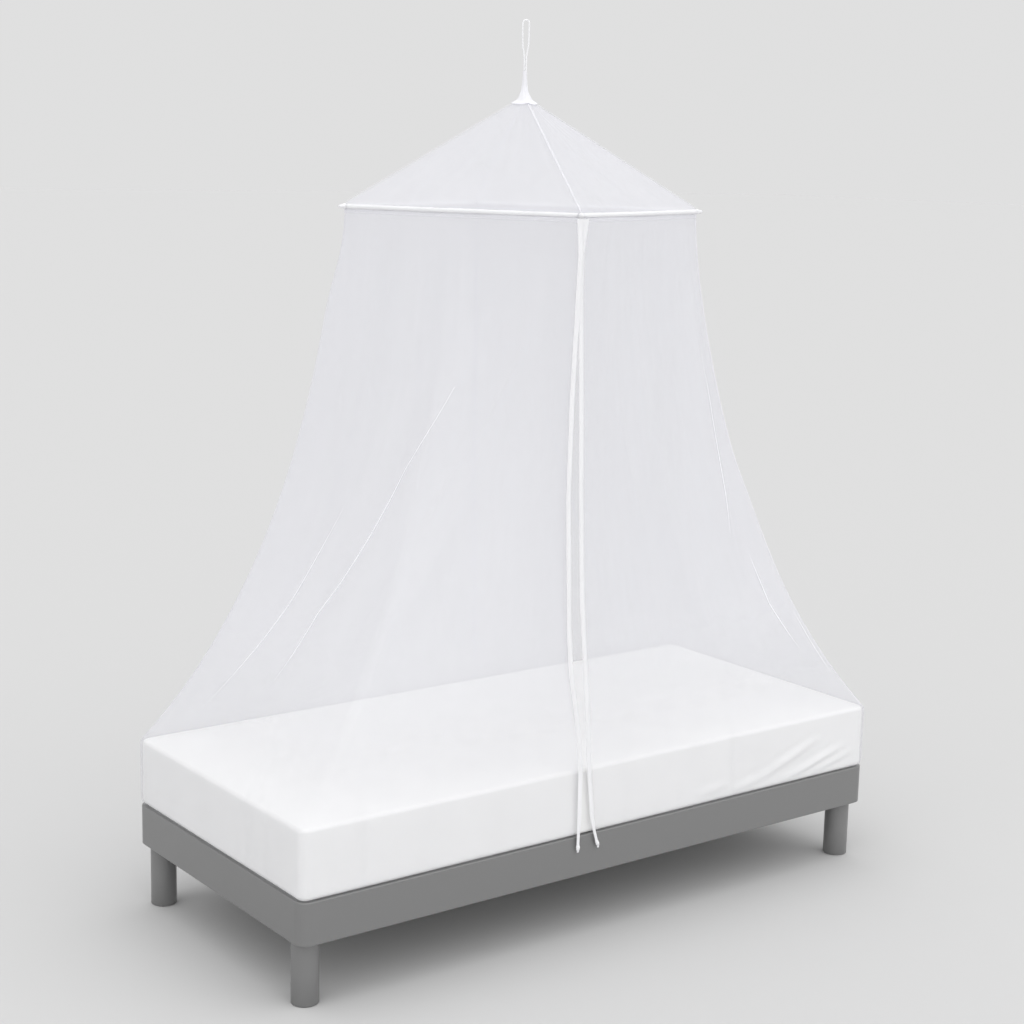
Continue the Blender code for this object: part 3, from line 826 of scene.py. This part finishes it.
def build_sleeves(tape):
    for panel in PANELS:
        side = (corner_place(panel.turn + 1) - corner_place(panel.turn)).length
        start = SLEEVE_END / side
        steps = SLEEVE_STEPS
        around = SLEEVE_SIDES
        rows = []
        for step in range(steps + 1):
            share = start + (1 - 2 * start) * step / steps
            middle = side_place(panel.turn, share)
            ahead = side_place(panel.turn, share + SLEEVE_AHEAD) - middle
            level = Vector((-ahead.y, ahead.x)).normalized()
            fins = [SPREADER_HEIGHT - SLEEVE_RADIUS - SLEEVE_FIN * fin for fin in FIN_LEVELS]
            edge = middle - level * SLEEVE_SKIN
            ring = [Vector((*edge, height)) for height in fins]
            for spot in range(around + 1):
                angle = tau * (SLEEVE_SLIT + (1 - 2 * SLEEVE_SLIT) * spot / around) - pi / 2
                wrinkle = noise.noise(Vector((share * SLEEVE_CRINKLES, angle, panel.turn)))
                crinkle = wrinkle * SLEEVE_CRINKLE
                reach = SLEEVE_RADIUS - SLEEVE_SKIN + crinkle
                out = level * cos(angle) * -reach
                ring.append(Vector((middle.x + out.x, middle.y + out.y, SPREADER_HEIGHT + sin(angle) * reach)))
            edge = middle + level * SLEEVE_SKIN
            ring += [Vector((*edge, height)) for height in reversed(fins)]
            rows.append(ring)
        for ends in (rows[0], rows[-1]):
            middle = sum(ends, Vector()) / len(ends)
            caps = [[middle.lerp(point, share) for point in ends] for share in CAP_SHARES]
            rows = caps[::-1] + rows if ends is rows[0] else rows + caps
        low = (HEM_WIDTH - SEWN_INSET) / (WALL_TOP - WALL_FOOT)
        sewn = [(panel.turn + SEWN_MARGIN + (1 - 2 * SEWN_MARGIN) * step / steps, low)
                for step in range(steps + 1)]
        outs = [out_of(wall_at(turn, fall).xy, fall).to_3d() for turn, fall in sewn]
        line = [wall_at(turn, fall) + out * 2 * STRIP_LIFT for (turn, fall), out in zip(sewn, outs)]
        grids = [(rows, metric_places(rows), False)] + stitch_row(line, outs)
        mesh = joined_grids("sleeve_" + panel.name, grids)
        sleeve = place_object("net_sleeve_" + panel.name, mesh, tape, ("sleeve_" + panel.name,))


def build_crown(tape):
    """The doubled patch over the apex: four-sided at its hem, drawn up into a round neck."""
    per_side = CROWN_PER_SIDE
    climb = CROWN_SHOULDER - CROWN_FOOT
    rises = [CROWN_FOOT + climb * row / CROWN_ROWS for row in range(CROWN_ROWS + 1)]
    rows = []
    for rise in rises:
        ring = []
        for turn in range(4):
            for step in range(per_side):
                place = roof_place(turn, step / per_side, rise)
                ring.append(place + Vector((0, 0, CROWN_ABOVE)))
        rows.append(ring)
    for radius, height in CROWN_NECKS:
        ring = []
        for number, point in enumerate(rows[0]):
            heading = (point.xy - APEX.xy).normalized()
            pleat = 1 + CROWN_PLEAT * sin(tau * number / len(rows[0]) * CROWN_PLEATS)
            ring.append(Vector((*(APEX.xy + heading * radius * pleat), height)))
        rows.append(ring)
    rows.reverse()
    above = Vector((0, 0, CROWN_SEWN_ABOVE))
    hem = [roof_place(turn, step / per_side, CROWN_FOOT + CROWN_SEWN_RISE) + above
           for turn in range(4) for step in range(per_side)]
    hem.append(hem[0])
    outs = [Vector((point.x - APEX.x, point.y - APEX.y, 0.5)).normalized() for point in hem]
    grids = [(rows, metric_places(rows), True)] + stitch_row(hem, outs)
    mesh = joined_grids("crown", grids)
    crown = place_object("net_crown", mesh, tape, ("crown_patch",))


def build_ridges(tape):
    steps = RIDGE_STEPS
    for turn, corner in enumerate(CORNERS):
        rows = []
        outs = []
        for step in range(steps + 1):
            middle = roof_place(turn, 0.0, RIDGE_START + (RIDGE_END - RIDGE_START) * step / steps)
            up = (APEX - middle).normalized()
            wide = up.cross(Vector((0, 0, 1))).normalized()
            out = wide.cross(up).normalized()
            middle += out * RIDGE_LIFT
            rows.append([middle + wide * RIDGE_HALF * across + out * RIDGE_THICK * high
                         for across, high in TAPE_SECTION])
            outs.append(out)
        grids = [(rows, metric_places(rows), True)]
        sides = [(row[0], row[RIDGE_OPPOSITE]) for row in rows]
        for across in (-RIDGE_SEWN, RIDGE_SEWN):
            line = [(near + far) / 2 + (far - near) * across / 2 + out * RIDGE_THICK
                    for (near, far), out in zip(sides, outs)]
            grids += stitch_row(line, outs)
        mesh = joined_grids("ridge_" + corner.name, grids)
        ridge = place_object("net_ridge_" + corner.name, mesh, tape, ("ridge_tape_" + corner.name,))


def build_pockets(tape):
    for corner in CORNERS:
        place = Vector((corner.x, corner.y))
        heading = (place - CENTRE).normalized()
        level = Vector((-heading.y, heading.x))
        rows = []
        for along, radius in POCKET_PROFILE:
            ring = []
            for spot in range(POCKET_SIDES):
                angle = tau * spot / POCKET_SIDES
                pucker = 1 + POCKET_PUCKER * sin(angle * 5 + along * 300)
                middle = place + heading * along + level * cos(angle) * radius * pucker
                ring.append(Vector((middle.x, middle.y, SPREADER_HEIGHT + sin(angle) * radius * pucker)))
            rows.append(ring)
        mesh = joined_grids("pocket_" + corner.name, [(rows, metric_places(rows), True)])
        pocket = place_object("net_pocket_" + corner.name, mesh, tape,
                              ("corner_pocket_" + corner.name,))


def tape_middle(side, turn, share, height):
    middle = wall_place(turn, share, height, detail=False)
    middle.x = tape_value(height, side + "_x")
    middle.y -= tape_value(height, side + "_out")
    return middle


def knot_grid(side, turn, share):
    """The small hard knot at a tape's end: a pinched ball of wound tape with a short frayed tail."""
    rows = []
    for number in range(KNOT_ROWS + 1):
        down = number / KNOT_ROWS
        height = KNOT_TOP + (KNOT_FOOT - KNOT_TOP) * down
        middle = tape_middle(side, turn, share, height)
        ball = KNOT_TAIL
        if down < KNOT_TAIL_START:
            ball = sin(pi * min(down / KNOT_BALL_END, 1.0)) ** KNOT_ROUNDNESS
        ring = []
        for spot in range(KNOT_SIDES):
            angle = tau * spot / KNOT_SIDES
            wound = 1 + KNOT_WINDING * sin(angle * 2 + down * KNOT_TWIST)
            reach = (KNOT_CORE + KNOT_SWELL * ball) * wound
            deep = min(reach * KNOT_FLATNESS, KNOT_DEEPEST)
            ring.append(middle + Vector((cos(angle) * reach, sin(angle) * deep, 0)))
        rows.append(ring)
    return rows, metric_places(rows), True


def build_tapes(tape):
    """The opening's bindings: each lies on the front of its panel's edge and hangs on below it."""
    for side, turn, share in (("left", 0, 0.0), ("right", 3, 1.0)):
        rows = []
        sewn = ([], [])
        top, foot = TAPES[0].height, KNOT_TOP - KNOT_LAP
        steps = TAPE_STEPS
        for step in range(steps + 1):
            height = top + (foot - top) * step / steps
            middle = tape_middle(side, turn, share, height)
            half = min(tape_value(height, "width") * TAPE_FULLNESS, TAPE_WIDEST) / 2
            fill = TAPE_HEAD * smooth_step((height - TAPE_HEAD_FOOT) / (top - TAPE_HEAD_FOOT))
            half += fill
            middle.x += fill if side == "left" else -fill
            thick = min(tape_value(height, "thickness"), TAPE_THICKEST) / 2
            twist = TAPE_TWIST * noise.noise(Vector((height * TAPE_TWISTS, turn, 2.2)))
            rows.append([middle + Vector((x * half, y * thick + twist * x, 0)) for x, y in TAPE_SECTION])
            if height > TAPE_SEWN_FOOT:
                for line, across in zip(sewn, (-TAPE_SEWN, TAPE_SEWN)):
                    line.append(middle + Vector((across * half, -thick * TAPE_SEWN_OUT + twist * across, 0)))
        grids = [(rows, metric_places(rows), True), knot_grid(side, turn, share)]
        for line in sewn:
            grids += stitch_row(line, [Vector((0, -1, 0))] * len(line))
        mesh = joined_grids("tape_" + side, grids)
        made = place_object("opening_band_" + side, mesh, tape, ("opening_tape_" + side,))


def build_loop(tape):
    """One cord out of the crown's neck, up one strand, over the top and down the other."""
    middle = Vector((APEX.x, APEX.y, 0))
    up = [middle - LOOP_DIRECTION * row.out + Vector((0, 0, row.height)) for row in STRANDS]
    down = [middle + LOOP_DIRECTION * row.out + Vector((0, 0, row.height)) for row in reversed(STRANDS)]
    points = up + [middle + Vector((0, 0, LOOP_TOP))] + down
    curve = bpy.data.curves.new("loop", "CURVE")
    curve.dimensions = "3D"
    curve.bevel_depth = CORD_RADIUS
    curve.bevel_resolution = CORD_RINGS
    curve.use_fill_caps = True
    line = curve.splines.new("POLY")
    line.points.add(len(points) - 1)
    for spot, point in zip(line.points, points):
        spot.co = (*point, 1.0)
    loop = place_object("hanging_loop", curve, tape, ("hang_loop",))


# ---------------------------------------------------------------- the bed

def ring_points(half_x, half_y, radius, count, height):
    """Evenly numbered points round a rounded rectangle."""
    radius = max(min(radius, half_x, half_y), SHARPEST_CORNER)
    runs = rounded_runs(half_x, half_y, radius)
    steps = (count[0], count[1], count[2], count[1], 2 * count[0], count[1], count[2], count[1], count[0])
    points = []
    for (kind, start, heading, length), number in zip(runs, steps):
        for step in range(number):
            if kind == "line":
                spot = start + heading * length * step / number
            else:
                angle = heading - pi / 2 * step / number
                spot = start + Vector((cos(angle), sin(angle))) * radius
            points.append(Vector((spot.x, spot.y, height)))
    return points


def rounded_rows(half_x, half_y, low, high, corner, low_edge, top_edge, count):
    """Rings of a rounded box from the middle of its underside up and over to the middle of its top."""
    steps = EDGE_STEPS
    turns = [pi / 2 * step / steps for step in range(steps + 1)]
    profile = [(low_edge - low_edge * sin(turn), low + low_edge - low_edge * cos(turn)) for turn in turns]
    side = UPRIGHT_STEPS
    span = high - low - low_edge - top_edge
    profile += [(0.0, low + low_edge + span * step / side) for step in range(1, side)]
    profile += [(top_edge - top_edge * cos(turn), high - top_edge + top_edge * sin(turn)) for turn in turns]
    under = [(min(half_x, half_y) * share, low) for share in CAP_INSETS]
    over = [(min(half_x, half_y) * share, high) for share in reversed(CAP_INSETS)]
    rows = under + profile + over
    return [ring_points(half_x - inset, half_y - inset, max(corner - inset, 0), count, height)
            for inset, height in rows]


def sheet_crease(point):
    """How far the fitted sheet's creases stand out of the mattress's long front side at a point."""
    if point.y > -MATTRESS_HIGH.y + SHEET_FRONT:
        return 0.0
    push = 0.0
    for crease in SHEET_CREASES:
        start = Vector((crease.x_a, crease.z_a))
        along = Vector((crease.x_b, crease.z_b)) - start
        offset = Vector((point.x, point.z)) - start
        share = offset.dot(along) / along.length_squared
        across = (offset - along * share).length / crease.half_width
        if across < 3 and 0 < share < 1:
            ridge = exp(-across * across) - TROUGH_DEPTH * exp(-(across - TROUGH_AWAY) ** 2)
            push += SHEET_DEPTH * crease.depth * sin(pi * share) * ridge
    edge = min(MATTRESS_HIGH.z - point.z, point.z - MATTRESS_LOW.z) / SHEET_FADE
    return push * smooth_step(edge)


def build_mattress(cotton):
    low, high = MATTRESS_LOW, MATTRESS_HIGH
    rows = rounded_rows(high.x, high.y, low.z, high.z, MATTRESS_CORNER,
                        MATTRESS_LOW_EDGE, MATTRESS_TOP_EDGE, MATTRESS_COUNTS)
    for row in rows:
        for point in row:
            soft = noise.noise(Vector((point.x * 3, point.y * 3, point.z * 6 + 4)))
            level = Vector((point.x / high.x, point.y / high.y, 0))
            point += level * soft * MATTRESS_SOFTNESS - Vector((0, sheet_crease(point), 0))
            if point.z > high.z - MATTRESS_SKIN:
                point.z += MATTRESS_CROWN * (1 - level.x ** 2) * (1 - level.y ** 2)
    mesh = joined_grids("mattress", [(rows, metric_places(rows), True)], welded=True)
    made = place_object("mattress_sheet", mesh, cotton, ("mattress",))


def build_base(paint):
    low, high = BASE_LOW, BASE_HIGH
    rows = rounded_rows(high.x, high.y, low.z, high.z, BASE_CORNER, BASE_EDGE, BASE_EDGE, BASE_COUNTS)
    mesh = joined_grids("base", [(rows, metric_places(rows), True)], welded=True)
    place_object("bed_frame", mesh, paint, ("bed_base",))
    for end in ("foot", "head"):
        for side in ("front", "back"):
            node = "leg_" + end + "_" + side
            low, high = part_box(node)
            middle = (low + high) / 2
            rows = []
            profile = ((0.0, low.z), (0.80, low.z), (0.97, low.z + 0.0006), (1.0, low.z + 0.002),
                       (1.0, middle.z), (1.0, high.z))
            for reach, height in profile:
                rows.append([Vector((middle.x + cos(tau * spot / LEG_SIDES) * LEG_RADIUS * reach,
                                     middle.y + sin(tau * spot / LEG_SIDES) * LEG_RADIUS * reach, height))
                             for spot in range(LEG_SIDES)])
            mesh = joined_grids(node, [(rows, metric_places(rows), True)])
            place_object("bed_" + node, mesh, paint, (node,))


# ---------------------------------------------------------------- materials

def add_node(tree, kind, **inputs):
    node = tree.nodes.new(kind)
    for name, value in inputs.items():
        node.inputs[name].default_value = value
    return node


def math_node(tree, operation, first, second=None):
    node = tree.nodes.new("ShaderNodeMath")
    node.operation = operation
    for socket, value in zip(node.inputs, (first, second)):
        if value is None:
            continue
        if isinstance(value, bpy.types.NodeSocket):
            tree.links.new(value, socket)
        else:
            socket.default_value = value
    return node.outputs[0]


def ranged(tree, value, before, after=(0.0, 1.0), smooth=False):
    """A value carried from one range over to another."""
    node = tree.nodes.new("ShaderNodeMapRange")
    if smooth:
        node.interpolation_type = "SMOOTHSTEP"
    tree.links.new(value, node.inputs["Value"])
    for name, level in zip(("From Min", "From Max", "To Min", "To Max"), (*before, *after)):
        node.inputs[name].default_value = level
    return node.outputs[0]


def raised(tree, shader, height, strength, distance):
    """A height that shows as bump on a shader."""
    node = add_node(tree, "ShaderNodeBump", Strength=strength, Distance=distance)
    tree.links.new(height, node.inputs["Height"])
    tree.links.new(node.outputs[0], shader.inputs["Normal"])


def woven_places(tree):
    """How far a point lies across and down its cloth, in metres."""
    place = tree.nodes.new("ShaderNodeUVMap")
    place.uv_map = "cloth"
    parts = tree.nodes.new("ShaderNodeSeparateXYZ")
    tree.links.new(place.outputs[0], parts.inputs[0])
    return parts.outputs[0], parts.outputs[1]


def new_material(name, colour, roughness):
    made = bpy.data.materials.new(name)
    made.use_nodes = True
    shader = made.node_tree.nodes["Principled BSDF"]
    shader.inputs["Base Color"].default_value = (*colour, 1.0)
    shader.inputs["Roughness"].default_value = roughness
    return made, made.node_tree, shader


def net_material(name, colour, most, least, dense=None, sheer=None):
    """Sheer knitted mesh with six-sided holes, denser where the cloth lies doubled and lightened there by a
    painted highlight, solid above a height or sheerer below.
    """
    made, tree, cloth = new_material(name, colour, 0.85)
    wide, long = woven_places(tree)
    wave = tau / MESH_PITCH
    total = None
    for angle in (0, pi / 3, 2 * pi / 3):
        across = math_node(tree, "MULTIPLY", wide, wave * cos(angle))
        down = math_node(tree, "MULTIPLY", long, wave * sin(angle))
        ripple_out = math_node(tree, "COSINE", math_node(tree, "ADD", across, down))
        total = ripple_out if total is None else math_node(tree, "ADD", total, ripple_out)
    threads = ranged(tree, total, (-1.5, 2.4), (most, least))
    place_3d = tree.nodes.new("ShaderNodeTexCoord")
    stretch = tree.nodes.new("ShaderNodeMapping")
    stretch.inputs["Scale"].default_value = (5.0, 5.0, 1.1)
    tree.links.new(place_3d.outputs["Object"], stretch.inputs["Vector"])
    cloud = add_node(tree, "ShaderNodeTexNoise", Scale=1.0, Detail=3.0)
    tree.links.new(stretch.outputs[0], cloud.inputs["Vector"])
    uneven = ranged(tree, cloud.outputs[0], (0.3, 0.7), (0.93, 1.07))
    cover = math_node(tree, "MULTIPLY", threads, uneven)
    layers = tree.nodes.new("ShaderNodeAttribute")
    layers.attribute_name = "layers"
    fold_highlight_share = ranged(tree, layers.outputs["Fac"], (1.0, CREASE_LAYERS))
    # Painted highlight: where the cloth is doubled in creases, hems and seams, its colour is lightened towards
    # a whiter tone.
    fold_highlight = tree.nodes.new("ShaderNodeMix")
    fold_highlight.data_type = "RGBA"
    tree.links.new(fold_highlight_share, fold_highlight.inputs[0])
    fold_highlight.inputs[MIX_PLAIN].default_value = (*colour, 1)
    fold_highlight.inputs[MIX_HIGHLIGHT].default_value = (*FOLD_HIGHLIGHT_COLOUR, 1)
    tree.links.new(fold_highlight.outputs[2], cloth.inputs["Base Color"])
    cover = math_node(tree, "MULTIPLY", cover, layers.outputs["Fac"])
    height = tree.nodes.new("ShaderNodeSeparateXYZ")
    tree.links.new(place_3d.outputs["Object"], height.inputs[0])
    if sheer:
        fade = ranged(tree, height.outputs[2], sheer[:2], (sheer[2], 1.0), smooth=True)
        cover = math_node(tree, "MULTIPLY", cover, fade)
    if dense:
        solid = ranged(tree, height.outputs[2], dense, smooth=True)
        cover = math_node(tree, "MAXIMUM", cover, solid)
    thin = add_node(tree, "ShaderNodeBsdfTranslucent", Color=NET_GLOW)
    both = add_node(tree, "ShaderNodeMixShader", Fac=NET_THROUGH)
    tree.links.new(cloth.outputs[0], both.inputs[1])
    tree.links.new(thin.outputs[0], both.inputs[2])
    clear = tree.nodes.new("ShaderNodeBsdfTransparent")
    final = tree.nodes.new("ShaderNodeMixShader")
    tree.links.new(cover, final.inputs[0])
    tree.links.new(clear.outputs[0], final.inputs[1])
    tree.links.new(both.outputs[0], final.inputs[2])
    tree.links.new(final.outputs[0], tree.nodes["Material Output"].inputs[0])
    return made


def woven_material(name, colour, roughness, pitch, bump, sheen):
    """Plain woven cloth: over-and-under threads as bump, with faint colour variation."""
    made, tree, shader = new_material(name, colour, roughness)
    shader.inputs["Sheen Weight"].default_value = sheen
    wide, long = woven_places(tree)
    across = math_node(tree, "SINE", math_node(tree, "MULTIPLY", wide, tau / pitch))
    down = math_node(tree, "SINE", math_node(tree, "MULTIPLY", long, tau / pitch))
    weave = math_node(tree, "MULTIPLY", across, down)
    raised(tree, shader, weave, 0.6, bump)
    place_3d = tree.nodes.new("ShaderNodeTexCoord")
    cloud = add_node(tree, "ShaderNodeTexNoise", Scale=9.0, Detail=4.0)
    tree.links.new(place_3d.outputs["Object"], cloud.inputs["Vector"])
    ramp = tree.nodes.new("ShaderNodeValToRGB")
    ramp.color_ramp.elements[0].position = 0.3
    ramp.color_ramp.elements[0].color = (*[part * 0.975 for part in colour], 1)
    ramp.color_ramp.elements[1].position = 0.7
    ramp.color_ramp.elements[1].color = (*colour, 1)
    tree.links.new(cloud.outputs[0], ramp.inputs[0])
    tree.links.new(ramp.outputs[0], shader.inputs["Base Color"])
    return made


def cord_material():
    """White twisted cord: slanting strands as bump, with painted shade darkening the grooves between them."""
    made, tree, shader = new_material("white_cord", (0.93, 0.93, 0.94), 0.75)
    place = tree.nodes.new("ShaderNodeTexCoord")
    strands = add_node(tree, "ShaderNodeTexWave", Scale=170.0, Distortion=0.6, Detail=1.0)
    strands.wave_type = "BANDS"
    strands.bands_direction = "DIAGONAL"
    tree.links.new(place.outputs["Object"], strands.inputs["Vector"])
    raised(tree, shader, strands.outputs[1], 0.8, 0.0005)
    # Painted shade: the colour darkens where the strands' bump is low, in the grooves between them.
    ramp = tree.nodes.new("ShaderNodeValToRGB")
    ramp.color_ramp.elements[0].color = (0.80, 0.80, 0.82, 1)
    ramp.color_ramp.elements[1].color = (0.95, 0.95, 0.96, 1)
    tree.links.new(strands.outputs[1], ramp.inputs[0])
    tree.links.new(ramp.outputs[0], shader.inputs["Base Color"])
    return made


def paint_material():
    """Satin grey paint with a fine orange-peel surface."""
    made, tree, shader = new_material("satin_paint", PAINT_GREY, 0.42)
    shader.inputs["Specular IOR Level"].default_value = 0.8
    place_3d = tree.nodes.new("ShaderNodeTexCoord")
    grain = add_node(tree, "ShaderNodeTexNoise", Scale=700.0, Detail=2.0)
    tree.links.new(place_3d.outputs["Object"], grain.inputs["Vector"])
    raised(tree, shader, grain.outputs[0], 0.25, 0.0002)
    cloud = add_node(tree, "ShaderNodeTexNoise", Scale=6.0, Detail=5.0)
    tree.links.new(place_3d.outputs["Object"], cloud.inputs["Vector"])
    rough = ranged(tree, cloud.outputs[0], (0.0, 1.0), (0.32, 0.44))
    tree.links.new(rough, shader.inputs["Roughness"])
    return made


make_camera()
TAPE_WHITE = woven_material("white_tape", (0.93, 0.93, 0.95), 0.7, 0.0012, 0.0003, 0.2)
build_loop(cord_material())
make_floor()
make_light()
NET = net_material("net", NET_COLOUR, MESH_THICK, MESH_THIN)
NET_FRONT = net_material("net_front", NET_COLOUR, MESH_THICK, MESH_THIN, sheer=(0.56, 0.86, 0.48))
CROWN_CLOTH = net_material("crown_cloth", BINDING_COLOUR, 0.92, 0.80, dense=(2.236, 2.250))
COTTON = woven_material("fitted_sheet", COTTON_WHITE, 0.8, 0.0010, 0.0002, 0.15)
PAINT = paint_material()
build_crown(CROWN_CLOTH)
build_roof(NET)
build_ridges(net_material("seam_binding", BINDING_COLOUR, 0.30, 0.20))
build_sleeves(TAPE_WHITE)
build_pockets(TAPE_WHITE)
build_walls(NET, NET_FRONT)
build_tapes(TAPE_WHITE)
build_mattress(COTTON)
build_base(PAINT)
